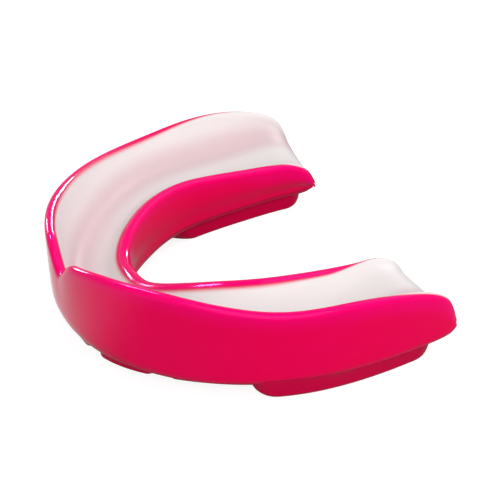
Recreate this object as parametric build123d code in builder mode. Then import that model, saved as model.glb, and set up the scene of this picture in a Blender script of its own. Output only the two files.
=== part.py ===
"""Two-shot moulded sports mouthguard: a rubbery outer shell and the soft gel liner inside it.

Front of the mouth is -Y, the arms run back along +Y, +Z is up into the upper teeth.
The molar pads lie on Z = 0, and the guard is centred on X = 0 and Y = 0.
"""

from build123d import *
import os
from math import cos, pi, sin, sqrt

# ---- driving dimensions, mm -------------------------------------------------------------------

# Arch line: the edge of the liner along the top of the outer flange, seen from above.
# Widths are from the middle of the mouth, depths from the front of the arch line.
CANINE_X = 17.3
CANINE_Y = 7.9
PREMOLAR_X = 27.5
PREMOLAR_Y = 23.0
MOLAR_X = 30.1
MOLAR_Y = 40.0
REAR_X = 29.2  # the arms close in a little behind the molars
REAR_Y = 50.9
REAR_LEAN = 0.1  # how much they turn inwards at the very end, per unit of length

# Channel for the teeth.
FRONT_CHANNEL = 9.3  # between the two rims at the front teeth
REAR_CHANNEL = 13.3  # between the two rims at the molars
CHANNEL_DEPTH = 1.9  # from the inner rim down to the floor
END_DEPTH = 0.6  # and at the ends of the arms, where it runs out
FLANGE_FOOT = 3.0  # how far the rounded foot of the outer flange reaches into the channel
FLOOR_SPREAD = 0.8  # share of the width where the floor has started to rise to the inner rim
FLOOR_RISE = 0.45  # share of the depth that it has risen there

# Heights above the surface that the guard rests on.
FRENUM_FLANGE = 16.8  # outer flange in the middle, before its notch is cut
LIP_FLANGE = 18.3  # outer flange under the upper lip
CHEEK_FLANGE = 14.1  # outer flange beside the molars
INNER_RIM = 9.9  # inner rim at the front
INNER_CREST = 12.2  # at its highest, beside the premolars
INNER_RIM_REAR = 9.6  # and towards the ends
SHELL_BASE = 2.2  # underside of the shell between its pads
OUTER_END = 4.0  # where the outer rim comes down to at the end of the arch line
INNER_END = 2.6  # and the inner rim

# Where those heights change, as lengths along the arch line from the middle of the front.
RISE_LENGTH = 5.0  # the inner rim starts to rise
LIP_LENGTH = 12.0  # the flange is highest
NARROW_LENGTH = 14.0  # the channel starts to widen
CREST_LENGTH = 28.0  # the inner rim is highest
CHEEK_LENGTH = 46.0  # the flange has come down to the cheek height
WIDE_LENGTH = 55.0  # the channel has its full width
FLANGE_ROUND = 24.0  # the outer flange rounds down to the end of the arm over this length
RIM_ROUND = 8.0  # and the inner rim over this one
SHELL_END = 0.9  # the shell stops this far before the end of the arch line

# Walls.
RIM_WALL = 1.3  # shell outside the liner, along the outer rim
WALL_BULGE = 0.25  # how far the outer wall swells out below that rim
INNER_WALL_FRONT = 1.8  # shell inside the liner, along the inner rim
INNER_WALL_REAR = 1.4
INNER_LEAN_FRONT = 0.6  # how far the inner wall leans in under its rim
INNER_LEAN_REAR = 0.9
RIM_SHOULDER = 1.0  # the rims round over from this far below their top edge
OUTER_CROWN = 0.4  # and rise this far above it
INNER_CROWN = 0.7
OUTER_FLARE = 0.3  # slope of the walls where they meet their rims
INNER_FLARE = 0.1
OUTER_ROUND_FRONT = 5.0  # radius under the outer wall
OUTER_ROUND_REAR = 1.5
INNER_ROUND_FRONT = 1.8  # radius under the inner wall
INNER_ROUND_REAR = 4.0
ROUND_SHARE = 0.6  # and the most of the wall's height that it takes
END_ROUND = 0.6  # rounding of the shell around the ends of the arms

# Gel liner.
LINER = 1.7  # thickness on the floor
LINER_FLANGE = 1.3  # thickness on the outer flange
LINER_LIP = 0.4  # thickness of its edge along the rims
LINER_PROUD = 0.8  # how far it stands up out of the shell at the ends of the arms
LINER_OVERHANG = 0.4  # how far it stands out behind the shell

# Frenum notch in the middle of the outer flange.
NOTCH_HEIGHT = 12.6  # its bottom
NOTCH_HALF_WIDTH = 3.6
NOTCH_FLARE = 2.0  # how much further its sides lean apart above that
NOTCH_ROUND = 0.8

# Pads under the shell, as lengths along the arch line.
MOLAR_PAD_START = 33.2
MOLAR_PAD_END = 4.2  # before the end of the arch line
MOLAR_PAD_SKEW = 2.4  # its inner edge lies this much further back
MOLAR_PAD_OUTER = -0.5  # inset from the arch line
MOLAR_PAD_INNER = 1.9  # inset from the inner rim line
MOLAR_PAD_ROUND = 0.7
MOLAR_PAD_CORNER = 2.5
FRONT_PADS = ((0, 4.2), (6.4, 17.4), (19.6, 36))  # start and end of each
FRONT_PAD_HEIGHT = 0.5
FRONT_PAD_OUTER = 2.0
FRONT_PAD_INNER = 2.4
PAD_STEPS = 4  # curve points along the edges of a pad

# Sections that shape the guard: evenly spaced along the arms, closer together where they end.
SPACING = 5.0
END_SHARES = (0.48, 0.34, 0.22, 0.13, 0.065, 0.03, 0.01, 0)  # before the end, as shares of the flange round

# ---- shapes along the arch ----------------------------------------------------------------------

FRONT_Y = (RIM_WALL + WALL_BULGE - REAR_Y) / 2  # puts the origin in the middle, front to back

arch = Spline(
    (0, FRONT_Y),
    (CANINE_X, FRONT_Y + CANINE_Y),
    (PREMOLAR_X, FRONT_Y + PREMOLAR_Y),
    (MOLAR_X, FRONT_Y + MOLAR_Y),
    (REAR_X, FRONT_Y + REAR_Y),
    tangents=((1, 0), (-REAR_LEAN, 1)),
)
ARCH_LENGTH = arch.length
ARM_END = ARCH_LENGTH - SHELL_END
BODY_STEPS = round((ARM_END - FLANGE_ROUND * END_SHARES[0]) / SPACING)
BODY_SPACING = (ARM_END - FLANGE_ROUND * END_SHARES[0]) / BODY_STEPS
STATIONS = [BODY_SPACING * step for step in range(BODY_STEPS)]
STATIONS += [ARM_END - FLANGE_ROUND * share for share in END_SHARES]
LINER_STATIONS = STATIONS + [ARM_END + LINER_OVERHANG]


def ease(start, end, place):
    """Smooth step along the arch: 0 up to start, 1 from end on."""
    share = min(max((place - start) / (end - start), 0), 1)
    return (1 - cos(pi * share)) / 2


def between(front, rear, place):
    """Size that changes evenly from the front to the ends of the arms."""
    return front + (rear - front) * place / ARCH_LENGTH


def end_drop(length, height, place):
    """Drop of an edge that comes down to the end of the arm as a quarter ellipse."""
    share = min(max((place - ARCH_LENGTH + length) / length, 0), 1)
    return height * (1 - sqrt(1 - share * share))


def outer_rim(place):
    """Height of the liner's edge on the outer flange."""
    lip = FRENUM_FLANGE + (LIP_FLANGE - FRENUM_FLANGE) * ease(0, LIP_LENGTH, place)
    cheek = (CHEEK_FLANGE - LIP_FLANGE) * ease(LIP_LENGTH, CHEEK_LENGTH, place)
    return lip + cheek - end_drop(FLANGE_ROUND, CHEEK_FLANGE - OUTER_END, place)


def inner_rim(place):
    """Height of the liner's edge on the inner rim."""
    rise = (INNER_CREST - INNER_RIM) * ease(RISE_LENGTH, CREST_LENGTH, place)
    fall = (INNER_CREST - INNER_RIM_REAR) * ease(CREST_LENGTH, ARCH_LENGTH, place)
    return INNER_RIM + rise - fall - end_drop(RIM_ROUND, INNER_RIM_REAR - INNER_END, place)


def channel_width(place):
    """Distance between the liner's two edges."""
    return FRONT_CHANNEL + (REAR_CHANNEL - FRONT_CHANNEL) * ease(NARROW_LENGTH, WIDE_LENGTH, place)


def end_round(place):
    """How far the shell draws in as it rounds off at the end of the arm."""
    share = min(max((place - ARM_END + END_ROUND) / END_ROUND, 0), 1)
    return END_ROUND * (1 - sqrt(1 - share * share))


def liner_rim(place):
    """Height of the liner's outer edge, which rises out of the shell towards the ends of the arms."""
    share = ease(CHEEK_LENGTH - LIP_LENGTH, ARCH_LENGTH, place)
    return outer_rim(place - share * LINER_OVERHANG) + share * LINER_PROUD


def station(place):
    """Plane across the arch: its X points into the mouth from the arch line, its Y up."""
    point = arch.position_at(place, PositionMode.LENGTH)
    along = arch.tangent_at(place, PositionMode.LENGTH)
    return Plane(origin=point, x_dir=(-along.Y, along.X, 0), z_dir=along)


# ---- sections across the arch ---------------------------------------------------------------------


def blank_section(place, top, shrink=0):
    """Whole guard with its channel filled in, up to the given height of its outer rim."""
    rim = inner_rim(place)
    width = channel_width(place)
    wall = INNER_WALL_FRONT + (INNER_WALL_REAR - INNER_WALL_FRONT) * ease(0, CHEEK_LENGTH, place)
    side = shrink - RIM_WALL - WALL_BULGE
    base = SHELL_BASE + shrink / 2
    narrowing = (OUTER_ROUND_FRONT - OUTER_ROUND_REAR) * ease(0, MOLAR_PAD_START, place)
    foot = min(OUTER_ROUND_FRONT - narrowing, (top - RIM_SHOULDER - base) / 2)
    widening = (INNER_ROUND_REAR - INNER_ROUND_FRONT) * ease(0, MOLAR_PAD_START, place)
    heel_round = min(INNER_ROUND_FRONT + widening, (rim - RIM_SHOULDER - base) * ROUND_SHARE)
    heel = width + wall - shrink - between(INNER_LEAN_FRONT, INNER_LEAN_REAR, place)
    outer_shoulder = (shrink - RIM_WALL, top - RIM_SHOULDER)
    inner_shoulder = (width + wall - shrink, rim - RIM_SHOULDER)
    outer_edge = (RIM_SHOULDER, top)
    inner_edge = (width - RIM_SHOULDER, rim)
    with BuildSketch(station(place)) as section:
        with BuildLine():
            Line(inner_edge, outer_edge)
            ThreePointArc(outer_edge, (-RIM_WALL / 2, top + OUTER_CROWN), outer_shoulder)
            Spline(outer_shoulder, (side, base + foot), tangents=((-OUTER_FLARE, -1), (0, -1)))
            RadiusArc((side, base + foot), (side + foot, base), -foot)
            Line((side + foot, base), (heel - heel_round, base))
            RadiusArc((heel - heel_round, base), (heel, base + heel_round), -heel_round)
            Spline((heel, base + heel_round), inner_shoulder, tangents=((0, 1), (INNER_FLARE, 1)))
            ThreePointArc(inner_shoulder, (width + wall / 2, rim + INNER_CROWN), inner_edge)
        make_face()
    return section.sketch


def trough_section(place, floor_depth, flange_depth, lip):
    """Open space above the liner's seat, or above the liner itself when the depths are 0."""
    top = outer_rim(place)
    rim = inner_rim(place)
    width = channel_width(place)
    depth = CHANNEL_DEPTH + (END_DEPTH - CHANNEL_DEPTH) * ease(CHEEK_LENGTH, ARCH_LENGTH, place)
    floor = min(rim - depth, top - LINER_LIP)
    lid = LIP_FLANGE + CHANNEL_DEPTH
    outer_edge = (LINER_LIP - lip, top - lip)
    inner_edge = (width - LINER_LIP + lip, rim - lip)
    with BuildSketch(station(place)) as section:
        with BuildLine():
            Spline(
                outer_edge,
                (LINER_FLANGE - flange_depth, (top - lip + floor - floor_depth / 2) / 2),
                (FLANGE_FOOT - flange_depth, floor + LINER_LIP - floor_depth * FLOOR_SPREAD),
                (width / 2, floor - floor_depth),
                (width * FLOOR_SPREAD, floor + depth * FLOOR_RISE - floor_depth),
                inner_edge,
            )
            Polyline(inner_edge, (inner_edge[0], lid), (outer_edge[0], lid), outer_edge)
        make_face()
    return section.sketch


def pad_edge(start, end, inset, across):
    """Points along one edge of a pad, inset from the arch line or, across it, from the inner rim."""
    points = []
    for step in range(PAD_STEPS + 1):
        place = start + (end - start) * step / PAD_STEPS
        reach = channel_width(place) - inset if across else inset
        points.append(station(place).from_local_coords((reach, 0, 0)))
    return points


def pad_outline(start, end, outer_inset, inner_inset, skew=0, corner=0):
    """Plan of a pad under the arch, between two lengths along it."""
    outer = pad_edge(start, end, outer_inset, False)
    inner = pad_edge(start + skew, end + skew, inner_inset, True)
    with BuildSketch() as outline:
        with BuildLine():
            Spline(outer)
            Line(outer[-1], inner[-1])
            Spline(inner[::-1])
            Line(inner[0], outer[0])
        make_face()
        if corner:
            fillet(outline.vertices(), corner)
    return outline.sketch


# ---- moulding tools ---------------------------------------------------------------------------------


with BuildPart() as gel_blank:
    loft([blank_section(place, liner_rim(place)) for place in LINER_STATIONS])

with BuildPart() as seat:
    loft([trough_section(place, LINER, LINER_FLANGE, LINER_LIP) for place in LINER_STATIONS])

with BuildPart() as channel:
    loft([trough_section(place, 0, 0, 0) for place in LINER_STATIONS])

with BuildPart() as notch:
    mouth = NOTCH_HALF_WIDTH + NOTCH_FLARE
    clear_of_flange = LIP_FLANGE + OUTER_CROWN + RIM_SHOULDER
    with BuildSketch(Plane.XZ.offset(RIM_WALL + WALL_BULGE + RIM_SHOULDER - FRONT_Y)) as notch_outline:
        with BuildLine():
            Polyline(
                (-mouth, clear_of_flange),
                (-NOTCH_HALF_WIDTH, FRENUM_FLANGE),
                (0, NOTCH_HEIGHT),
                (NOTCH_HALF_WIDTH, FRENUM_FLANGE),
                (mouth, clear_of_flange),
                close=True,
            )
        make_face()
        fillet(notch_outline.vertices().sort_by(Axis.Y)[0], NOTCH_ROUND)
    extrude(amount=-FRONT_CHANNEL)

with BuildPart() as blank:
    loft([blank_section(place, outer_rim(place), end_round(place)) for place in STATIONS])
    add(notch, mode=Mode.SUBTRACT)

with BuildPart() as molar_pad:
    pad_rear = ARCH_LENGTH - MOLAR_PAD_END
    edges = (MOLAR_PAD_OUTER, MOLAR_PAD_INNER, MOLAR_PAD_SKEW)
    add(pad_outline(MOLAR_PAD_START, pad_rear, *edges, corner=MOLAR_PAD_CORNER))
    extrude(amount=SHELL_BASE + MOLAR_PAD_ROUND)
    fillet(molar_pad.faces().sort_by(Axis.Z)[0].edges(), MOLAR_PAD_ROUND)

# ---- pieces -------------------------------------------------------------------------------------------

with BuildPart() as shell:
    add(blank)
    add(molar_pad)
    for pad_start, pad_end in FRONT_PADS:
        with BuildSketch(Plane.XY.offset(SHELL_BASE - FRONT_PAD_HEIGHT)):
            add(pad_outline(pad_start, pad_end, FRONT_PAD_OUTER, FRONT_PAD_INNER))
        extrude(amount=FRONT_PAD_HEIGHT + MOLAR_PAD_ROUND)
    add(seat, mode=Mode.SUBTRACT)
    mirror(about=Plane.YZ)

with BuildPart() as liner:
    add(gel_blank)
    add(seat, mode=Mode.INTERSECT)
    add(channel, mode=Mode.SUBTRACT)
    add(notch, mode=Mode.SUBTRACT)
    mirror(about=Plane.YZ)

os.makedirs("parts", exist_ok=True)

shell.part.label = "shell"
export_step(shell.part, "parts/shell.step")

liner.part.label = "liner"
export_step(liner.part, "parts/liner.step")
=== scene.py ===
"""Visual model of a two-shot boil-and-bite mouthguard: a glossy rubber shell with a soft gel liner.

The front of the mouth is -Y, the arms run back along +Y and +Z is up into the upper teeth.
Sizes in the classes are millimetres. Meshes, lamps and the camera are in metres, in the CAD's frame.
"""

import logging
import math
from dataclasses import dataclass, field
from enum import Enum
from typing import Any, Optional, Sequence

import bmesh
import bpy
import numpy as np
from mathutils import Matrix, Vector
from mathutils.kdtree import KDTree


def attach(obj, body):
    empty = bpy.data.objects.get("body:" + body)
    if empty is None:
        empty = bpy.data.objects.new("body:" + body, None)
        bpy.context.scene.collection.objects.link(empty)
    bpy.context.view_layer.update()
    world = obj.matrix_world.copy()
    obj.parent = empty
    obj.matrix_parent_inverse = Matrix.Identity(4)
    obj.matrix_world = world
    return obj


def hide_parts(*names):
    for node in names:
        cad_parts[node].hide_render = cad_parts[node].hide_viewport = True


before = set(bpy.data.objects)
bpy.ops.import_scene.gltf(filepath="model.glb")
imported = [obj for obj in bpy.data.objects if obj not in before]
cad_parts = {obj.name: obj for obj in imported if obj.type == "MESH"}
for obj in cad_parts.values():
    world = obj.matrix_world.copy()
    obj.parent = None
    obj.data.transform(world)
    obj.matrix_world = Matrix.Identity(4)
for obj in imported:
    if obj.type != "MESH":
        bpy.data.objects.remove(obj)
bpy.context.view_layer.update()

MM = 0.001
WHITE = (1.0, 1.0, 1.0, 1.0)
NEAR = 3e-6  # metres within which two points of the shell are the same one
WELD = 2e-6  # metres within which the points of a union are merged
log = logging.getLogger("mouthguard")


# ---- helpers --------------------------------------------------------------------------------------


def linear(colour: str) -> tuple[float, float, float, float]:
    """Turn an sRGB hex colour into the linear one that the shaders work in.

    Args:
        colour: Six hex digits, such as "e0e0e0".

    Returns:
        Linear red, green, blue and an alpha of 1.
    """
    parts = [int(colour[i : i + 2], 16) / 255 for i in (0, 2, 4)]
    turned = [p / 12.92 if p <= 0.04045 else ((p + 0.055) / 1.055) ** 2.4 for p in parts]
    return (turned[0], turned[1], turned[2], 1.0)


def node(
    tree: bpy.types.NodeTree, kind: str, inputs: Optional[dict] = None, **settings: Any
) -> bpy.types.Node:
    """Add a shader node with its settings, its values and the links into it.

    Args:
        tree: Node tree that gets the node.
        kind: The node's type name.
        inputs: Socket name or number, with the value it gets or the output socket linked to it.
        **settings: The node's own properties.

    Returns:
        The new node.
    """
    made = tree.nodes.new(kind)
    for name, value in settings.items():
        setattr(made, name, value)
    for name, value in (inputs or {}).items():
        if isinstance(value, bpy.types.NodeSocket):
            tree.links.new(value, made.inputs[name])
        else:
            made.inputs[name].default_value = value
    return made


def noise(
    tree: bpy.types.NodeTree, place: bpy.types.NodeSocket, size: float, detail: float
) -> bpy.types.NodeSocket:
    """Add a noise pattern.

    Args:
        tree: Node tree that gets it.
        place: Socket with the coordinates.
        size: How many millimetres its features are across.
        detail: How many finer octaves it has.

    Returns:
        The socket with its values.
    """
    inputs = {"Vector": place, "Scale": 1 / (size * MM), "Detail": detail}
    return node(tree, "ShaderNodeTexNoise", inputs).outputs["Fac"]


def blend(tree: bpy.types.NodeTree, share: Any, first: Any, second: Any) -> bpy.types.NodeSocket:
    """Add a blend of two colours.

    Args:
        tree: Node tree that gets it.
        share: Socket or number: 0 gives the first colour and 1 the second.
        first: Socket or colour.
        second: Socket or colour.

    Returns:
        The socket with the blended colour.
    """
    return node(tree, "ShaderNodeMix", {0: share, 6: first, 7: second}, data_type="RGBA").outputs[2]


def ramp(
    tree: bpy.types.NodeTree,
    value: bpy.types.NodeSocket,
    reach: tuple[float, float],
    ends: tuple[float, float] = (0.0, 1.0),
    shape: str = "SMOOTHSTEP",
) -> bpy.types.NodeSocket:
    """Add a ramp that turns one range of values into another and stays level outside it.

    Args:
        tree: Node tree that gets it.
        value: Socket with the values that it turns.
        reach: Values at which it starts and ends.
        ends: What it gives at its start and at its end.
        shape: How it runs between them.

    Returns:
        The socket with the result.
    """
    inputs = {"Value": value, "From Min": reach[0], "From Max": reach[1]}
    inputs |= {"To Min": ends[0], "To Max": ends[1]}
    return node(tree, "ShaderNodeMapRange", inputs, interpolation_type=shape).outputs["Result"]


def relief(
    tree: bpy.types.NodeTree,
    height: bpy.types.NodeSocket,
    depth: float,
    under: Optional[bpy.types.NodeSocket] = None,
    strength: float = 1.0,
) -> bpy.types.NodeSocket:
    """Add fine relief to a surface.

    Args:
        tree: Node tree that gets it.
        height: Socket with the pattern.
        depth: How many millimetres deep the pattern is.
        under: Socket with the relief that this one lies on.
        strength: How much of it is seen.

    Returns:
        The socket with the normal.
    """
    inputs = {"Height": height, "Strength": strength, "Distance": depth * MM}
    if under is not None:
        inputs["Normal"] = under
    return node(tree, "ShaderNodeBump", inputs).outputs["Normal"]


def ease(start: float, end: float, place: float) -> float:
    """Smooth step: 0 up to start, 1 from end on."""
    share = min(max((place - start) / (end - start), 0.0), 1.0)
    return (1 - math.cos(math.pi * share)) / 2


def quarter(start: float, end: float, place: float) -> float:
    """Step as round as a quarter circle: 0 up to start, then ever steeper up to 1 at end."""
    share = min(max((place - start) / (end - start), 0.0), 1.0)
    return 1 - math.sqrt(1 - share * share)


def mix(first: float, second: float, share: float) -> float:
    """Value the given share of the way from the first to the second."""
    return first + (second - first) * share


# ---- curves ---------------------------------------------------------------------------------------


class Curve:
    """Smooth plane curve through a few points, with continuous curvature."""

    def __init__(
        self,
        points: Sequence[tuple[float, float]],
        start: Optional[tuple[float, float]] = None,
        end: Optional[tuple[float, float]] = None,
    ) -> None:
        """Fit the curve.

        Args:
            points: Points that the curve goes through, in order.
            start: Its slope at the first point. Without one, it starts straight.
            end: Its slope at the last point. Without one, it ends straight.
        """
        self.points = np.array(points, dtype=float)
        steps = np.linalg.norm(np.diff(self.points, axis=0), axis=1)
        self.knots = np.concatenate([[0.0], np.cumsum(steps)])
        count = len(points)
        system = np.zeros((count, count))
        known = np.zeros((count, 2))
        slopes = np.diff(self.points, axis=0) / steps[:, None]
        for i in range(1, count - 1):
            system[i, i - 1 : i + 2] = steps[i], 2 * (steps[i - 1] + steps[i]), steps[i - 1]
            known[i] = 3 * (steps[i] * slopes[i - 1] + steps[i - 1] * slopes[i])
        system[0, 0] = system[-1, -1] = 1
        if start is None:
            system[0, :2] = 2, 1
            known[0] = 3 * slopes[0]
        else:
            known[0] = start
        if end is None:
            system[-1, -2:] = 1, 2
            known[-1] = 3 * slopes[-1]
        else:
            known[-1] = end
        self.tangents = np.linalg.solve(system, known)
        self.steps = steps

    def at(self, places: np.ndarray) -> np.ndarray:
        """Points on the curve.

        Args:
            places: Places along the curve, in the units of its knots.

        Returns:
            One point for each place.
        """
        span = np.clip(np.searchsorted(self.knots, places, side="right") - 1, 0, len(self.steps) - 1)
        step = self.steps[span][:, None]
        t = (places - self.knots[span])[:, None] / step
        first, second = self.points[span], self.points[span + 1]
        out, into = self.tangents[span] * step, self.tangents[span + 1] * step
        return (
            (2 * t**3 - 3 * t**2 + 1) * first
            + (t**3 - 2 * t**2 + t) * out
            + (3 * t**2 - 2 * t**3) * second
            + (t**3 - t**2) * into
        )

    def run(self, first: float, last: float, count: int) -> np.ndarray:
        """Evenly spaced points from one of the curve's own points to another.

        Args:
            first: Number of the point to start at. A fraction lies between two points.
            last: Number of the point to end at.
            count: How many steps to make.

        Returns:
            count + 1 points.
        """
        start, end = np.interp([first, last], range(len(self.knots)), self.knots)
        dense = self.at(np.linspace(start, end, 12 * count + 1))
        lengths = np.concatenate([[0.0], np.cumsum(np.linalg.norm(np.diff(dense, axis=0), axis=1))])
        wanted = np.linspace(0, lengths[-1], count + 1)
        return np.stack([np.interp(wanted, lengths, dense[:, axis]) for axis in (0, 1)], axis=1)


def arc(centre: tuple[float, float], radius: float, start: float, end: float, count: int) -> np.ndarray:
    """Points along a circular arc.

    Args:
        centre: Its centre.
        radius: Its radius.
        start: Angle of its first point, in degrees.
        end: Angle of its last point, in degrees.
        count: How many steps to make.

    Returns:
        count + 1 points.
    """
    angles = np.radians(np.linspace(start, end, count + 1))
    return np.stack([centre[0] + radius * np.cos(angles), centre[1] + radius * np.sin(angles)], axis=1)


@dataclass
class Arch:
    """Horseshoe line that the guard follows, and the heights and widths that change along it.

    The fields that end in _length say where a change along the line starts or ends.
    """

    line: tuple = ((0, 0), (17.3, 7.9), (27.5, 23.0), (30.1, 40.0), (29.2, 50.9))
    front_slope: tuple = (1.27, 0.0)
    rear_slope: tuple = (-0.134, 1.343)
    front_y: float = -24.675

    front_channel: float = 9.3
    rear_channel: float = 13.3
    channel_depth: float = 1.9
    end_depth: float = 0.3

    frenum_flange: float = 16.8
    lip_flange: float = 18.3
    cheek_flange: float = 14.1
    inner_low: float = 9.9
    inner_crest: float = 12.2
    inner_rear: float = 9.3
    outer_end: float = 4.8
    inner_end: float = 2.6

    rise_length: float = 5
    lip_length: float = 12
    narrow_length: float = 14
    crest_length: float = 28
    cheek_length: float = 46
    wide_length: float = 55
    flange_round: float = 24
    rim_round: float = 7

    notch_bottom: float = 12.6
    notch_slope: float = 1.167
    notch_round: float = 0.75
    lobe_round: float = 1.5

    shell_end: float = 0.9
    overhang: float = 0.3

    front_reach: float = 6
    end_reach: float = 10
    turn_reach: float = 1.2
    length: float = field(init=False)

    def __post_init__(self) -> None:
        """Fit the horseshoe line and measure it."""
        self.curve = Curve([(x, y + self.front_y) for x, y in self.line], self.front_slope, self.rear_slope)
        self.places = np.linspace(0, self.curve.knots[-1], 4001)
        steps = np.linalg.norm(np.diff(self.curve.at(self.places), axis=0), axis=1)
        self.lengths = np.concatenate([[0.0], np.cumsum(steps)])
        self.length = float(self.lengths[-1])

    @property
    def arm_end(self) -> float:
        """Length along the arch at which the shell ends."""
        return self.length - self.shell_end

    @property
    def liner_end(self) -> float:
        """Length along the arch at which the liner ends, a little behind the shell."""
        return self.arm_end + self.overhang

    def point(self, place: float, reach: float, height: float) -> Vector:
        """Point in the guard's frame, in metres.

        Args:
            place: Length along the arch from the middle of the front, negative on the other side.
            reach: Distance from the arch line into the mouth.
            height: Height above the surface that the guard rests on.

        Returns:
            The point.
        """
        spot = np.interp(abs(place), self.lengths, self.places)
        step = 0.01
        near = np.clip(np.array([spot - step, spot, spot + step]), 0, self.curve.knots[-1])
        before, middle, after = self.curve.at(near)
        along = (after - before) / np.linalg.norm(after - before)
        if abs(place) < 2 * step:  # straight across the middle, so that the two arms meet in one plane
            along = np.array([1.0, 0.0])
        beyond = max(abs(place) - self.length, 0.0)
        x = middle[0] + along[0] * beyond - along[1] * reach
        y = middle[1] + along[1] * beyond + along[0] * reach
        return Vector((math.copysign(1, place) * x if place else x, y, height)) * MM

    def end_drop(self, length: float, height: float, place: float) -> float:
        """Drop of an edge that comes down by height to the end of the arm, over a length."""
        return height * quarter(self.length - length, self.length, place)

    def outer_rim(self, place: float) -> float:
        """Height of the outer flange, with the notch for the frenum in its middle.

        Args:
            place: Length along the arch.

        Returns:
            The height.
        """
        lip = self.frenum_flange + (self.lip_flange - self.frenum_flange) * ease(0, self.lip_length, place)
        cheek = (self.cheek_flange - self.lip_flange) * ease(self.lip_length, self.cheek_length, place)
        flange = lip + cheek - self.end_drop(self.flange_round, self.cheek_flange - self.outer_end, place)
        side = self.notch_slope * place
        notch = self.notch_bottom + math.hypot(side, self.notch_round) - 0.2 * self.notch_round
        near = max(self.lobe_round - abs(flange - notch), 0.0)
        return min(flange, notch) - near * near / (4 * self.lobe_round)

    def inner_rim(self, place: float) -> float:
        """Height of the inner rim.

        Args:
            place: Length along the arch.

        Returns:
            The height.
        """
        rise = (self.inner_crest - self.inner_low) * ease(self.rise_length, self.crest_length, place)
        fall = (self.inner_crest - self.inner_rear) * ease(self.crest_length, self.length, place)
        drop = self.end_drop(self.rim_round, self.inner_rear - self.inner_end, place)
        return self.inner_low + rise - fall - drop

    def width(self, place: float) -> float:
        """Distance between the two rims."""
        return mix(self.front_channel, self.rear_channel, ease(self.narrow_length, self.wide_length, place))

    def depth(self, place: float) -> float:
        """Depth of the channel below the inner rim."""
        return mix(self.channel_depth, self.end_depth, ease(self.cheek_length, self.length, place))

    def stations(self, end: float) -> list[float]:
        """Places along one arm at which a section is drawn, close together where the shape turns.

        Args:
            end: Length along the arch at which the arm ends.

        Returns:
            The places, from the middle of the front on.
        """
        front, rear, turn = self.front_reach, end - self.end_reach, end - self.turn_reach
        steps = 12
        places = list(np.arange(0, front, 0.2))
        places += list(np.linspace(front, rear, 100, endpoint=False))
        places += list(np.linspace(rear, turn, 30, endpoint=False))
        places += [
            end - self.turn_reach * (1 - math.sin(math.pi / 2 * step / steps)) for step in range(steps + 1)
        ]
        return [float(place) for place in places]


# ---- sections -------------------------------------------------------------------------------------

Outline = list[tuple[float, float]]

WALL_STEPS = 12  # points up the inner wall
CREST_STEPS = 14  # over the inner rim to the liner
SEAT_STEPS = 26  # along the seat
TOP_STEPS = (24, 32)  # along the liner's top, to the middle of the channel and on to the outer rim
OUTER_STEPS = 17  # over the outer rim
SIDE_STEPS = 14  # down the outer wall


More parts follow.
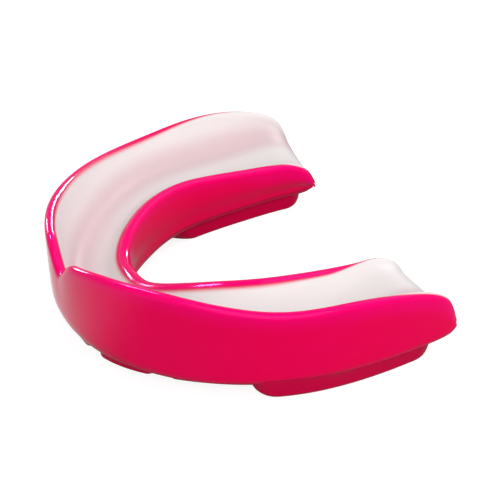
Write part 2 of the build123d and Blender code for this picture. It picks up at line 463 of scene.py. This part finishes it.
@dataclass
class Section:
    """One slice across the guard: reaches into the mouth and heights, in millimetres.

    The nose is where the arm turns in and comes down at its end, and the tip is where it closes.
    """

    arch: Arch
    place: float

    base: float = 2.2
    base_rise: float = 0.5
    rim_wall: float = 1.3
    bulge: float = 0.25
    wall_front: float = 1.8
    wall_rear: float = 1.4
    lean_front: float = 0.6
    lean_rear: float = 0.9
    flange: float = 1.3
    foot_reach: float = 3.0
    round_front: float = 5.0
    round_rear: float = 1.5
    round_length: float = 33.2
    round_heel: float = 1.8
    liner: float = 1.7
    proud: float = 0.8
    stand_length: float = 34
    outer_border: float = 11.6
    inner_border: float = 5
    nose: float = 4.0
    nose_drop: float = 1.4
    nose_tuck: float = 0.7
    nose_lift: float = 0.3
    nose_thin: float = 0.5
    tip: float = 1.5
    tip_height: float = 4.3
    tip_left: float = 0.28
    foot_spread: float = 5.0

    def __post_init__(self) -> None:
        """Work out the heights and widths at this place, and the line over both rims."""
        length = self.arch.length
        place = min(self.place, length - 0.02)
        self.stand = ease(self.stand_length, length, place)
        turn = quarter(self.arch.arm_end - self.nose, self.arch.arm_end, self.place)
        self.top = self.arch.outer_rim(place) - self.nose_drop * turn
        self.rim = self.arch.inner_rim(place) - 0.2 * self.nose_drop * turn
        self.width = self.arch.width(place) - 0.5 * self.nose_tuck * turn
        self.depth = self.arch.depth(place)
        self.floor = min(self.rim - self.depth, self.top - 0.4)
        self.wall = mix(self.wall_front, self.wall_rear, ease(0, self.arch.cheek_length, place))
        self.base += self.base_rise * ease(20, 34, place) + self.nose_lift * turn
        self.liner *= 1 - self.nose_thin * turn
        self.heel_round = min(self.round_heel, (self.rim - 1 - self.base) * 0.6)
        self.heel = self.width + self.wall - mix(self.lean_front, self.lean_rear, place / length)
        foot_round = mix(self.round_front, self.round_rear, ease(0, self.round_length, place))
        self.foot_round = min(foot_round, (self.top - 1 - self.base) / 2)
        self.outside = self.rim_wall - self.nose_tuck * turn
        self.side = -self.outside - self.bulge
        # The gel reaches further out over the outer rim beside the molars, and over the inner one at the end.
        self.outer_border += 0.7 * ease(8, 24, place) + 1.3 * ease(39, length, place)
        self.inner_border -= 1.5 * ease(length - 18, length - 4, place)
        self.line = self.draw_line()

    def draw_line(self) -> Curve:
        """Line from the heel over the inner rim, through the channel and over the outer rim to the foot.

        Returns:
            The line. The liner lies between the two borders, which are numbers of its points.
        """
        w, wall, rim, top = self.width, self.wall, self.rim, self.top + self.proud * self.stand
        low = self.base + self.heel_round
        drop = min(1.0, (rim - self.floor) / 1.2)
        return Curve(
            [
                # inner wall
                (self.heel, low),
                (mix(self.heel, w + wall, 0.8), mix(low, rim - 0.9, 0.5)),
                (w + wall, rim - 0.75),
                # inner rim
                (w + 0.88 * wall, rim + 0.22),
                (w + 0.42 * wall, rim + 0.66),
                (w - 0.12, rim + 0.3),
                # channel
                (w * 0.9, rim - 0.42 * drop),
                (w * 0.74, self.floor + 0.22 * self.depth),
                (w / 2, self.floor),
                (self.foot_reach, self.floor + 0.4),
                # outer flange and its rim
                (self.flange, mix(top, self.floor, 0.5)),
                (0.42, top - 0.55),
                (0.1, top + 0.12),
                (-0.46 * self.outside, top + 0.4),
                (-0.88 * self.outside, top - 0.12),
                # outer wall
                (-self.outside, top - 1.0),
                (self.side, self.base + self.foot_round),
            ],
            start=(0.0, 1.0),
            end=(0.0, -1.0),
        )

    def seat(self, steps: int) -> np.ndarray:
        """Underside of the liner, which is the shell's seat.

        Args:
            steps: How many steps to make.

        Returns:
            steps + 1 points, from its outer edge to its inner one.
        """
        low = self.floor - self.liner
        edge = self.line.run(11, self.outer_border, 1)[1]
        inner_edge = self.line.run(self.inner_border, 6, 1)[0]
        line = Curve(
            [
                (edge[0], edge[1]),
                (0.05 - 0.25 * self.stand, self.top - 1.15),
                (0.0, mix(self.top, low, 0.5)),
                (self.foot_reach - self.flange, low + 0.75),
                (self.width / 2, low),
                (self.width * 0.8, low + 0.45 * self.depth),
                (self.width - 0.1, self.rim - 0.55),
                (inner_edge[0], inner_edge[1]),
            ]
        )
        return line.run(0, 7, steps)

    def shell_ring(self, round_off: float = 0.0) -> Outline:
        """Closed outline of the shell: inner wall and rim, seat, outer rim and wall, underside.

        Args:
            round_off: How far it draws in, except at its seat, as it rounds off at the end of the arm.

        Returns:
            The outline.
        """
        foot, heel, base = self.foot_round, self.heel_round, self.base
        parts = [
            self.line.run(0, 2, WALL_STEPS),
            self.line.run(2, self.inner_border, CREST_STEPS),
            self.seat(SEAT_STEPS)[::-1],
            self.line.run(self.outer_border, 15, OUTER_STEPS),
            self.line.run(15, 16, SIDE_STEPS),
            arc((self.side + foot, base + foot), foot, 180, 270, 8),
            np.linspace((self.side + foot, base), (self.heel - heel, base), 9),
            arc((self.heel - heel, base + heel), heel, 270, 360, 7),
        ]
        amounts = [round_off, round_off, 0.0] + [round_off] * 5
        return self.tipped(drawn_in(parts, amounts), self.arch.arm_end)

    def liner_ring(self, round_off: float = 0.0) -> Outline:
        """Closed outline of the liner: its top from the inner edge to the outer one, then its seat.

        Args:
            round_off: How far it draws in as it rounds off at the end of the arm.

        Returns:
            The outline.
        """
        parts = [
            self.line.run(self.inner_border, 8, TOP_STEPS[0]),
            self.line.run(8, self.outer_border, TOP_STEPS[1]),
            self.seat(SEAT_STEPS),
        ]
        return self.tipped(drawn_in(parts, [round_off] * 3), self.arch.liner_end)

    def tipped(self, outline: Outline, end: float) -> Outline:
        """Outline closed in towards the middle of its height, as the end of the arm rounds off.

        Args:
            outline: Outline of the shell or of the liner.
            end: Length along the arch at which it ends.

        Returns:
            The outline, unchanged where the arm is still full.
        """
        left = max(1 - quarter(end - self.tip, end, self.place), self.tip_left)
        return [(reach, mix(self.tip_height, height, left)) for reach, height in outline]

    def edge_distances(self) -> list[float]:
        """Distance of each point of the liner's outline from the liner's nearer edge."""
        ring = np.array(self.liner_ring())
        steps = np.linalg.norm(np.diff(ring[: sum(TOP_STEPS) + 1], axis=0), axis=1)
        along = np.concatenate([[0.0], np.cumsum(steps)])
        top = [float(min(a, along[-1] - a)) for a in along]
        return [d * (1 + 2 * self.stand) for d in top + [0.0] * (len(ring) - len(top))]

    def foot_shares(self) -> list[float]:
        """How near each point of the liner's outline is to the foot of the outer flange: 1 at it. It sets the
        gel's painted shade.
        """
        foot = np.array([self.foot_reach, self.floor + 0.6])
        near = np.linalg.norm(np.array(self.liner_ring()) - foot, axis=1) / self.foot_spread
        return [float(max(1 - n, 0.0)) for n in near]

    def rim_distances(self) -> list[float]:
        """Distance of each point of the shell's outline from the nearer rim."""
        ring = np.array(self.shell_ring())
        steps = np.linalg.norm(np.diff(ring, axis=0), axis=1)
        along = np.concatenate([[0.0], np.cumsum(steps)])
        rim = WALL_STEPS + CREST_STEPS
        inner, outer = along[rim], along[rim + SEAT_STEPS]
        return [float(min(abs(a - inner), abs(a - outer))) for a in along]


def drawn_in(parts: Sequence[np.ndarray], amounts: Sequence[float]) -> Outline:
    """Join runs of points into one closed outline and draw it in.

    Args:
        parts: Runs of points, each starting where the one before ends.
        amounts: How far the points of each run move towards the inside.

    Returns:
        The outline.
    """
    points = np.concatenate([part[:-1] for part in parts])
    shift = np.concatenate([np.full(len(part) - 1, amount) for part, amount in zip(parts, amounts)])
    ahead, behind = np.roll(points, -1, axis=0), np.roll(points, 1, axis=0)
    along = ahead - behind
    along /= np.maximum(np.linalg.norm(along, axis=1), 1e-9)[:, None]
    area = np.sum(points[:, 0] * ahead[:, 1] - ahead[:, 0] * points[:, 1])
    inward = np.stack([-along[:, 1], along[:, 0]], axis=1) * math.copysign(1, area)
    return [tuple(p) for p in points + inward * shift[:, None]]


# ---- meshes ---------------------------------------------------------------------------------------


def next_loop(
    bm: bmesh.types.BMesh, edges: list[bmesh.types.BMEdge], loop: list[bmesh.types.BMVert]
) -> tuple[list[bmesh.types.BMEdge], list[bmesh.types.BMVert]]:
    """Extrude an open body's last loop by one step.

    Args:
        bm: The body.
        edges: Edges of its last loop.
        loop: Points of its last loop, in order.

    Returns:
        The edges and the points of the new loop, which still lies on the last one.
    """
    drawn = bmesh.ops.extrude_edge_only(bm, edges=edges)["geom"]
    fresh = {item for item in drawn if isinstance(item, bmesh.types.BMVert)}
    edges = [item for item in drawn if isinstance(item, bmesh.types.BMEdge) and set(item.verts) <= fresh]
    after = {}
    for vert in fresh:
        for edge in vert.link_edges:
            if edge.other_vert(vert) not in fresh:
                after[edge.other_vert(vert)] = vert
    return edges, [after[vert] for vert in loop]


def draw_out(
    arch: Arch, places: Sequence[float], rings: Sequence[Outline], marks: dict[str, list[list[float]]]
) -> bmesh.types.BMesh:
    """Both arms of the guard, drawn out ring by ring from the middle of the front and mirrored.

    Args:
        arch: Line that the rings stand across.
        places: Length along the arch of each ring.
        rings: Outline at each place, all with as many points.
        marks: Names of attributes, each with a value for each point of each ring.

    Returns:
        The closed body.
    """
    bm = bmesh.new()
    for name in marks:
        bm.verts.layers.float.new(name)
    layers = {name: bm.verts.layers.float[name] for name in marks}
    loop = bmesh.ops.create_circle(bm, segments=len(rings[0]), radius=MM, cap_ends=False)["verts"]
    edges = bm.edges[:]
    for number, (place, ring) in enumerate(zip(places, rings)):
        if number:
            edges, loop = next_loop(bm, edges, loop)
        for at, (vert, (reach, height)) in enumerate(zip(loop, ring)):
            vert.co = arch.point(place, reach, height)
            for name, layer in layers.items():
                vert[layer] = marks[name][number][at]
    bmesh.ops.triangle_fill(bm, edges=edges, use_beauty=True)
    mirror_over(bm, 1e-6)
    return bm


def mirror_over(bm: bmesh.types.BMesh, merge: float) -> None:
    """Add a body's mirror image on the other side of the guard's middle.

    Args:
        bm: The body.
        merge: Distance in metres within which its points merge with the image's.
    """
    everything = bm.verts[:] + bm.edges[:] + bm.faces[:]
    bmesh.ops.mirror(bm, geom=everything, matrix=Matrix.Identity(4), merge_dist=merge, axis="X")
    face_outwards(bm)


def face_outwards(bm: bmesh.types.BMesh) -> None:
    """Turn all faces of a closed body outwards."""
    bmesh.ops.recalc_face_normals(bm, faces=bm.faces)
    if bm.calc_volume(signed=True) < 0:
        bmesh.ops.reverse_faces(bm, faces=bm.faces)


def settle(bm: bmesh.types.BMesh, name: str, crease: float = 40) -> bpy.types.Object:
    """Turn a bmesh into a smooth-shaded object at the origin.

    Args:
        bm: Mesh in the guard's frame. It is freed.
        name: Name of the object.
        crease: Angle in degrees from which an edge shows as a crease.

    Returns:
        The object.
    """
    mesh = bpy.data.meshes.new(name)
    bm.to_mesh(mesh)
    bm.free()
    mesh.shade_smooth()
    mesh.set_sharp_from_angle(angle=math.radians(crease))
    made = bpy.data.objects.new(name, mesh)
    bpy.context.scene.collection.objects.link(made)
    return made


def unite(body: bpy.types.Object, added: bpy.types.Object, crease: float = 40) -> None:
    """Join a second closed object to the first as one closed skin, and remove it.

    Args:
        body: Object that gets the joined mesh.
        added: Object that is joined to it.
        crease: Angle in degrees from which an edge shows as a crease.
    """
    union = body.modifiers.new("union", "BOOLEAN")
    union.operation = "UNION"
    union.solver = "EXACT"
    union.object = added
    graph = bpy.context.evaluated_depsgraph_get()
    joined = bpy.data.meshes.new_from_object(body.evaluated_get(graph))
    body.modifiers.clear()
    body.data = joined
    bm = bmesh.new()
    bm.from_mesh(joined)
    bmesh.ops.remove_doubles(bm, verts=bm.verts, dist=WELD)
    bmesh.ops.dissolve_degenerate(bm, edges=bm.edges, dist=1e-6)
    bm.to_mesh(joined)
    bm.free()
    joined.shade_smooth()
    joined.set_sharp_from_angle(angle=math.radians(crease))
    bpy.data.objects.remove(added)


# ---- finishes -------------------------------------------------------------------------------------


@dataclass(frozen=True)
class ShellRubber:
    """Injection-moulded thermoplastic rubber from a polished mould: smooth, glossy and evenly dyed.

    Its skin mirrors the bright room at grazing angles, over a very slight orange peel. Its rims are
    painted a brighter magenta, a painted highlight for the light from above, and its underside and
    pads a darker red, a painted shade. Patterns are sized in millimetres.
    """

    name: str = "moulded thermoplastic rubber, pink"
    warm: str = "f60049"
    cool: str = "f40057"
    # Painted highlight: the rims are painted this brighter magenta, for the light from above.
    rim_tint: str = "ff0070"
    # Painted shade: the underside and pads are painted this darker red.
    painted_shade: str = "d40042"
    lit_rim_from: float = 0.6
    lit_rim_to: float = 4.5
    underside_shade_from: float = 16.0
    underside_shade_to: float = 24.0
    roughness: float = 0.12
    cloud: float = 14.0
    peel: float = 1.3
    peel_depth: float = 0.006
    grain: float = 0.25
    grain_depth: float = 0.002

    def material(self) -> bpy.types.Material:
        """Make the material.

        Returns:
            The material.
        """
        made, tree, output = blank_material(self.name)
        place = node(tree, "ShaderNodeTexCoord").outputs["Object"]
        dye = blend(tree, noise(tree, place, self.cloud, 2.0), linear(self.warm), linear(self.cool))
        rim = node(tree, "ShaderNodeAttribute", attribute_name="edge").outputs["Fac"]
        # Painted highlight: near the rims the colour turns a brighter magenta, standing in for light from
        # above.
        rim_tint = ramp(tree, rim, (self.lit_rim_from, self.lit_rim_to), (1.0, 0.0))
        dye_and_lit_rims = blend(tree, rim_tint, dye, linear(self.rim_tint))
        # Painted shade: far from the rims, on the underside and pads, the colour turns a darker red.
        darker = ramp(tree, rim, (self.underside_shade_from, self.underside_shade_to))
        colour = blend(tree, darker, dye_and_lit_rims, linear(self.painted_shade))
        grain = noise(tree, place, self.grain, 2.0)
        sheen = (self.roughness - 0.03, self.roughness + 0.04)
        gloss = ramp(tree, grain, (0.3, 0.7), sheen, "LINEAR")
        waves = relief(tree, noise(tree, place, self.peel, 1.0), self.peel_depth)
        skin = relief(tree, grain, self.grain_depth, waves)
        surface = node(
            tree,
            "ShaderNodeBsdfPrincipled",
            {
                "Base Color": colour,
                "Roughness": gloss,
                "IOR": 1.5,
                "Specular Tint": (1.0, 0.12, 0.5, 1.0),
                "Normal": skin,
            },
        )
        tree.links.new(surface.outputs["BSDF"], output.inputs["Surface"])
        return made


@dataclass(frozen=True)
class LinerGel:
    """Soft heat-mouldable ethylene-vinyl acetate gel over the shell: milky, satin, thin at its edges.

    It is thinnest along the rims, where the shell's pink shows through, and it is painted darker at
    the foot of the flange, a painted shade for the hollow there. Patterns are sized in millimetres.
    """

    name: str = "moulded EVA gel, milky white"
    body: str = "ece5e5"
    darker: str = "eae0e0"
    # Painted shade: the gel is painted this darker colour at the foot of the flange.
    painted_shade: str = "d8bfc3"
    shell: str = "e8004c"
    fade: float = 1.2
    fall_off: float = 1.8
    cloud: float = 9.0
    ripple: float = 2.6
    ripple_depth: float = 0.03
    grain: float = 0.4
    grain_depth: float = 0.004

    def material(self) -> bpy.types.Material:
        """Make the material.

        Returns:
            The material.
        """
        made, tree, output = blank_material(self.name)
        place = node(tree, "ShaderNodeTexCoord").outputs["Object"]
        milk = blend(tree, noise(tree, place, self.cloud, 2.0), linear(self.body), linear(self.darker))
        # Painted shade: the gel darkens towards the foot of the flange, for the hollow there.
        foot = node(tree, "ShaderNodeAttribute", attribute_name="foot").outputs["Fac"]
        shaded_milk = blend(tree, ramp(tree, foot, (0.0, 1.0), shape="SMOOTHERSTEP"), milk, linear(self.painted_shade))
        edge = node(tree, "ShaderNodeAttribute", attribute_name="edge").outputs["Fac"]
        rim_tint = ramp(tree, edge, (0.0, self.fade), (1.0, 0.0))
        glow = node(tree, "ShaderNodeMath", {0: rim_tint, 1: self.fall_off}, operation="POWER").outputs[0]
        colour = blend(tree, glow, shaded_milk, linear(self.shell))
        waves = relief(tree, noise(tree, place, self.ripple, 1.0), self.ripple_depth)
        skin = relief(tree, noise(tree, place, self.grain, 2.0), self.grain_depth, waves)
        surface = node(
            tree,
            "ShaderNodeBsdfPrincipled",
            {
                "Base Color": colour,
                "Roughness": 0.5,
                "IOR": 1.48,
                "Specular IOR Level": 0.12,
                "Subsurface Weight": 0.25,
                "Subsurface Radius": (1.2, 0.8, 0.8),
                "Subsurface Scale": 0.8 * MM,
                "Normal": skin,
            },
        )
        tree.links.new(surface.outputs["BSDF"], output.inputs["Surface"])
        return made


@dataclass(frozen=True)
class StudioPaper:
    """Seamless white paper under the guard: matt, and white wherever no shadow falls on it.

    The guard's gloss mirrors it pale on one side only, from shade to clear millimetres out that way.
    """

    name: str = "seamless white paper"
    colour: str = "949494"
    glow: float = 0.86
    fibre: float = 0.6
    fibre_depth: float = 0.02
    mirrored: float = 0.9
    pale_side: tuple = (-0.7, -0.7)
    shade: float = 8.0
    clear: float = 28.0

    def material(self) -> bpy.types.Material:
        """Make the material.

        Returns:
            The material.
        """
        made, tree, output = blank_material(self.name)
        place = node(tree, "ShaderNodeTexCoord").outputs["Object"]
        tooth = relief(tree, noise(tree, place, self.fibre, 2.0), self.fibre_depth, strength=0.2)
        paper = node(tree, "ShaderNodeBsdfDiffuse", {"Color": linear(self.colour), "Normal": tooth})
        rays = node(tree, "ShaderNodeLightPath").outputs
        towards = tuple(part / MM for part in self.pale_side) + (0.0,)
        along = node(tree, "ShaderNodeVectorMath", {0: place, 1: towards}, operation="DOT_PRODUCT")
        sweep = ramp(tree, along.outputs["Value"], (self.shade, self.clear), (0.0, self.mirrored))
        seen = node(
            tree,
            "ShaderNodeMath",
            {0: rays["Is Glossy Ray"], 1: sweep, 2: rays["Is Camera Ray"]},
            operation="MULTIPLY_ADD",
            use_clamp=True,
        )
        strength = node(tree, "ShaderNodeMath", {0: seen.outputs[0], 1: self.glow}, operation="MULTIPLY")
        glow = node(tree, "ShaderNodeEmission", {"Color": WHITE, "Strength": strength.outputs[0]})
        both = node(tree, "ShaderNodeAddShader", {0: paper.outputs["BSDF"], 1: glow.outputs["Emission"]})
        tree.links.new(both.outputs["Shader"], output.inputs["Surface"])
        return made


def blank_material(name: str) -> tuple[bpy.types.Material, bpy.types.NodeTree, bpy.types.Node]:
    """Start an empty node material.

    Args:
        name: Name of the material.

    Returns:
        The material, its node tree and its output node.
    """
    made = bpy.data.materials.new(name)
    made.use_nodes = True
    made.node_tree.nodes.clear()
    return made, made.node_tree, node(made.node_tree, "ShaderNodeOutputMaterial")


# ---- pieces ---------------------------------------------------------------------------------------


@dataclass
class Pad:
    """Raised pad under an arm, between two lengths along the arch, with rounded corners and ends.

    It is inset from the arch line by outer_front and outer_rear and from the inner rim by inner. Its
    ends draw in below end_height by toe and heel, and draft widens it downwards.
    """

    start: float
    end: float
    outer_front: float
    outer_rear: float
    inner: float
    low: float
    high: float
    skew: float = 0.0
    corner: float = 1.2
    rounding: float = 0.4
    toe: float = 0.8
    heel: float = 0.8
    end_height: float = 0.6
    draft: float = 0.0

    def outline(self, first: float, last: float, side: float, wide: float) -> np.ndarray:
        """Rounded rectangle around the pad at one level, in lengths along it and across it.

        Args:
            first: Length along the pad at which it starts.
            last: Length along the pad at which it ends.
            side: How far both its sides are drawn in.
            wide: Full width of the pad.

        Returns:
            Its points, with the same number at every level.
        """
        c = max(self.corner - side, 0.5)
        long = round(2 * (self.end - self.start))  # a point every half millimetre
        parts = [
            np.linspace((first + c, side), (last - c, side), long + 1),
            arc((last - c, side + c), c, -90, 0, 8),
            np.linspace((last, side + c), (last, wide - side - c), 9),
            arc((last - c, wide - side - c), c, 0, 90, 8),
            np.linspace((last - c, wide - side), (first + c, wide - side), long + 1),
            arc((first + c, wide - side - c), c, 90, 180, 8),
            np.linspace((first, wide - side - c), (first, side + c), 9),
            arc((first + c, side + c), c, 180, 270, 8),
        ]
        return np.concatenate([part[:-1] for part in parts])

    def build(self, arch: Arch) -> bmesh.types.BMesh:
        """Draw the pad out level by level from its top, along the arch, and close it.

        Args:
            arch: Line that the pad lies under.

        Returns:
            The closed pad.
        """
        long, wide = self.end - self.start, arch.width(abs(self.start)) - self.inner
        tall = self.high - self.low
        angles = [math.pi / 2 * step / 10 for step in range(11)]
        levels = [tall] + [self.end_height * (1 - math.sin(angle)) for angle in angles]
        bm = bmesh.new()
        count = len(self.outline(0, long, 0, wide))
        loop = bmesh.ops.create_circle(bm, segments=count, radius=MM, cap_ends=False)["verts"]
        edges = bm.edges[:]
        top = edges
        for number, up in enumerate(levels):
            if number:
                edges, loop = next_loop(bm, edges, loop)
            ends = quarter(0, 1, 1 - up / self.end_height)
            side = self.rounding * quarter(0, 1, 1 - up / self.rounding)
            ring = self.outline(self.toe * ends, long - self.heel * ends, side, wide)
            for vert, (along, across) in zip(loop, ring):
                share, over = along / long, across / wide
                place = self.start + along + self.skew * over
                outer = mix(self.outer_front, self.outer_rear, ease(0.2, 1.0, share))
                outer += self.draft * (tall - up)
                inner = arch.width(abs(place)) - self.inner
                vert.co = arch.point(place, mix(outer, inner, over), self.low + up)
        bmesh.ops.triangle_fill(bm, edges=edges, use_beauty=True)
        bmesh.ops.triangle_fill(bm, edges=top, use_beauty=True)
        face_outwards(bm)
        return bm


@dataclass
class Shell:
    """Outer shell with its pads. Points on the pads count as this far from a rim, which gives them the full
    painted shade.
    """

    arch: Arch
    finish: ShellRubber
    round_off: float = 0.2
    painted_shade: float = 24.0
    molar_start: float = 32.0
    molar_end: float = 4.2
    front_pads: tuple = ((6.4, 17.4), (19.6, 36.0))
    middle_pad: float = 4.2

    def side_pads(self) -> list[Pad]:
        """Pads under one side of the shell: the molar pad that it rests on and the low front ones.

        Returns:
            The pads.
        """
        molar = Pad(
            start=self.molar_start,
            end=self.arch.length - self.molar_end,
            outer_front=-1.52,
            outer_rear=-0.75,
            inner=0.75,
            low=0.0,
            high=4.1,
            skew=2.4,
            corner=3.2,
            rounding=0.8,
            draft=0.12,
            toe=3.2,
            heel=1.6,
            end_height=2.3,
        )
        return [molar] + [self.front_pad(start, end) for start, end in self.front_pads]

    def front_pad(self, start: float, end: float) -> Pad:
        """One of the low pads under the front, which stay clear of what the guard lies on.

        Args:
            start: Length along the arch at which it starts.
            end: Length along the arch at which it ends.

        Returns:
            The pad.
        """
        return Pad(start, end, outer_front=0.6, outer_rear=0.6, inner=2.4, low=1.4, high=3.8)

    def build(self) -> bpy.types.Object:
        """Make the shell and join its pads to it.

        Returns:
            The shell's object.
        """
        end = self.arch.arm_end
        places = self.arch.stations(end)
        rings, marks = [], []
        for place in places:
            section = Section(self.arch, place)
            rings.append(section.shell_ring(self.round_off * quarter(end - self.round_off, end, place)))
            # The distance from the rims sets the shell's painted highlight near the rims and its painted
            # shade far from them.
            marks.append(section.rim_distances())
        body = settle(draw_out(self.arch, places, rings, {"edge": marks}), "shell_rubber_moulding")
        known = KDTree(len(body.data.vertices))
        for vert in body.data.vertices:
            known.insert(vert.co, vert.index)
        known.balance()
        depths = [item.value for item in body.data.attributes["edge"].data]
        for number, pad in enumerate(self.side_pads()):
            bm = pad.build(self.arch)
            mirror_over(bm, 1e-9)
            unite(body, settle(bm, f"pads_{number}"))
        middle = self.front_pad(-self.middle_pad, self.middle_pad)
        unite(body, settle(middle.build(self.arch), "middle_pad"))
        # Points that the pads add get the distance that paints them with the full painted shade.
        marked = body.data.attributes["edge"].data
        for vert in body.data.vertices:
            _, index, away = known.find(vert.co)
            marked[vert.index].value = depths[index] if away < NEAR else self.painted_shade
        return body

    def dress(self, body: bpy.types.Object) -> None:
        """Give the shell its rubber and put it in its node's place."""
        body.data.materials.clear()
        body.data.materials.append(self.finish.material())
        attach(body, "root")
        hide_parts("shell")


@dataclass
class Liner:
    """Gel liner on the shell's seat."""

    arch: Arch
    finish: LinerGel
    round_off: float = 0.15

    def build(self) -> bpy.types.Object:
        """Make the liner.

        Returns:
            The liner's object.
        """
        end = self.arch.liner_end
        places = self.arch.stations(end)
        rings, edges, feet = [], [], []
        for place in places:
            section = Section(self.arch, place)
            rings.append(section.liner_ring(self.round_off * quarter(end - self.round_off, end, place)))
            edges.append(section.edge_distances())
            feet.append(section.foot_shares())
        return settle(draw_out(self.arch, places, rings, {"edge": edges, "foot": feet}), "liner_gel_moulding")

    def dress(self, body: bpy.types.Object) -> None:
        """Give the liner its gel and put it in its node's place."""
        body.data.materials.append(self.finish.material())
        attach(body, "root")
        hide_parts("liner")


# ---- studio ---------------------------------------------------------------------------------------


class Softness(Enum):
    """Size of a lamp's panel in metres."""

    WIDE = 0.6
    PANEL = 0.16


@dataclass
class Lamp:
    """Soft panel lamp aimed at the guard."""

    name: str
    azimuth: float
    elevation: float
    distance: float
    power: float
    panel: Softness
    mirrored_only: bool = False

    def build(self) -> bpy.types.Object:
        """Hang the lamp.

        Returns:
            The lamp's object.
        """
        data = bpy.data.lights.new(self.name, "AREA")
        data.shape = "DISK"
        data.size = self.panel.value
        data.energy = self.power
        made = bpy.data.objects.new(self.name, data)
        made.visible_diffuse = not self.mirrored_only
        away = aim(self.azimuth, self.elevation)
        made.location = away * self.distance
        made.rotation_euler = away.to_track_quat("Z", "Y").to_euler()
        bpy.context.scene.collection.objects.link(made)
        return made


def aim(azimuth: float, elevation: float) -> Vector:
    """Direction out from the guard.

    Args:
        azimuth: Angle around it in degrees, from the front towards +X.
        elevation: Angle above the paper in degrees.

    Returns:
        The direction, of length 1.
    """
    a, e = math.radians(azimuth), math.radians(elevation)
    return Vector((math.sin(a) * math.cos(e), -math.cos(a) * math.cos(e), math.sin(e)))


@dataclass
class Studio:
    """White paper, bright room, soft lamps and a camera that looks along one arm from its side.

    Angles are degrees. The camera's distance, focal length and target are millimetres.
    """

    paper: StudioPaper
    room: float = 0.52
    mirrored: float = 0.2
    azimuth: float = 68.718
    elevation: float = 33.906
    roll: float = -5.447
    distance: float = 326.63
    focal: float = 151.37
    target: tuple = (1.534, 4.763, 8.21)
    lamps: tuple = (
        Lamp("rear_lamp", 150, 50, 0.7, 1.8, Softness.WIDE),
        Lamp("fill_lamp", 72, 32, 0.7, 2.4, Softness.WIDE),
        Lamp("front_panel", -24, 72, 0.5, 4.0, Softness.PANEL, True),
        Lamp("rear_panel", -150, 24, 0.6, 4.0, Softness.PANEL, True),
        Lamp("side_panel", -62, 30, 0.6, 4.0, Softness.PANEL, True),
    )

    def build(self) -> None:
        """Set up the floor, the room, the lamps and the camera."""
        self.lay_paper()
        self.light_room()
        for lamp in self.lamps:
            lamp.build()
        self.place_camera()

    def lay_paper(self) -> None:
        """Lay the paper under the guard."""
        bm = bmesh.new()
        bmesh.ops.create_grid(bm, x_segments=8, y_segments=8, size=3.0)
        made = settle(bm, "paper_floor")
        made.data.materials.append(self.paper.material())

    def light_room(self) -> None:
        """Light the guard evenly from a bright white room."""
        world = bpy.data.worlds.new("bright room")
        bpy.context.scene.world = world
        world.use_nodes = True
        tree = world.node_tree
        tree.nodes.clear()
        rays = node(tree, "ShaderNodeLightPath").outputs
        clear = node(
            tree,
            "ShaderNodeMath",
            {0: rays["Is Camera Ray"], 1: rays["Is Transmission Ray"]},
            operation="ADD",
            use_clamp=True,
        )
        seen = node(
            tree,
            "ShaderNodeMath",
            {0: rays["Is Glossy Ray"], 1: self.mirrored, 2: clear.outputs[0]},
            operation="MULTIPLY_ADD",
            use_clamp=True,
        )
        strength = ramp(tree, seen.outputs[0], (0.0, 1.0), (self.room, 1.0), "LINEAR")
        light = node(tree, "ShaderNodeBackground", {"Color": WHITE, "Strength": strength})
        node(tree, "ShaderNodeOutputWorld", {"Surface": light.outputs["Background"]})

    def place_camera(self) -> None:
        """Place the camera."""
        data = bpy.data.cameras.new("camera")
        data.sensor_width = 36
        data.lens = self.focal
        data.clip_start = 0.01
        made = bpy.data.objects.new("camera", data)
        away = aim(self.azimuth, self.elevation)
        right = aim(self.azimuth + 90, 0)
        roll = Matrix.Rotation(math.radians(self.roll), 3, "Z")
        turned = Matrix((right, away.cross(right), away)).transposed() @ roll
        stand = (Vector(self.target) + away * self.distance) * MM
        made.matrix_world = Matrix.Translation(stand) @ turned.to_4x4()
        bpy.context.scene.collection.objects.link(made)
        bpy.context.scene.camera = made


def main() -> None:
    """Build the guard and the studio around it."""
    bpy.context.scene.view_settings.view_transform = "Standard"
    arch = Arch()
    for piece in (Shell(arch, ShellRubber()), Liner(arch, LinerGel())):
        body = piece.build()
        piece.dress(body)
        log.info("%s: %d faces", body.name, len(body.data.polygons))
    Studio(StudioPaper()).build()


if __name__ == "__main__":
    logging.basicConfig(level=logging.INFO, format="%(message)s")
    main()
